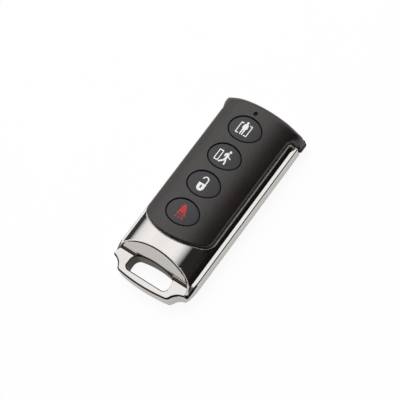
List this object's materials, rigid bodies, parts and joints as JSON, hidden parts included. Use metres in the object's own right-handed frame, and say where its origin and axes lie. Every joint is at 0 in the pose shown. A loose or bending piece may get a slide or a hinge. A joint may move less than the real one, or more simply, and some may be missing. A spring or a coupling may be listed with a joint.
{
  "type": "alarm key fob",
  "caption": "Pocket alarm remote: domed black cover with oval push keys, bright-plated frame that ends in a key-ring loop, and a screwed back.",
  "frame": {"origin": "middle of the overall box, on the plane of the back", "axes": "+Y along the length from the loop to the arched end, +Z out of the key face, +X to the right"},
  "size_m": [0.0318, 0.071, 0.0131],
  "materials": {
    "cover_plastic": "soft-touch black",
    "frame_plating": "bright plating over moulded plastic",
    "back_plastic": "fine-grained black",
    "clear_plastic": "smoked clear rod",
    "key_plastic": "smooth dark grey",
    "silicone": "grey silicone",
    "board_laminate": "green solder mask",
    "switch_plastic": "black moulding",
    "plunger_plastic": "tan moulding",
    "light_body": "milky resin",
    "chip_resin": "black resin",
    "can_metal": "drawn metal can",
    "ceramic": "ceramic chips",
    "copper": "bare copper",
    "cell_steel": "nickel-plated steel",
    "spring_metal": "plated spring strip",
    "screw_steel": "zinc-plated steel"
  },
  "bodies": {
    "case": {"top_cover": "cover_plastic", "chrome_frame": "frame_plating", "bottom_cover": "back_plastic", "light_pipe": "clear_plastic", "keypad_mat": "silicone", "circuit_board": "board_laminate", "switch_stay": "switch_plastic", "switch_away": "switch_plastic", "switch_unlock": "switch_plastic", "switch_panic": "switch_plastic", "status_led": "light_body", "radio_chip": "chip_resin", "crystal_can": "can_metal", "chip_parts": "ceramic", "antenna_loop": "copper", "coin_cell": "cell_steel", "battery_strap": "spring_metal", "battery_contact": "spring_metal", "case_screws": "screw_steel"},
    "stay_key": {"key_stay": "key_plastic", "plunger_stay": "plunger_plastic"},
    "away_key": {"key_away": "key_plastic", "plunger_away": "plunger_plastic"},
    "unlock_key": {"key_unlock": "key_plastic", "plunger_unlock": "plunger_plastic"},
    "panic_key": {"key_panic": "key_plastic", "plunger_panic": "plunger_plastic"}
  },
  "joints": [
    {"name": "stay_press", "type": "slide", "parent": "case", "child": "stay_key", "axis": [0, 0, -1], "range_m": [0, 0.00035], "stiffness_N_per_m": 5000},
    {"name": "away_press", "type": "slide", "parent": "case", "child": "away_key", "axis": [0, 0, -1], "range_m": [0, 0.00035], "stiffness_N_per_m": 5000},
    {"name": "unlock_press", "type": "slide", "parent": "case", "child": "unlock_key", "axis": [0, 0, -1], "range_m": [0, 0.00035], "stiffness_N_per_m": 5000},
    {"name": "panic_press", "type": "slide", "parent": "case", "child": "panic_key", "axis": [0, 0, -1], "range_m": [0, 0.00035], "stiffness_N_per_m": 5000}
  ]
}
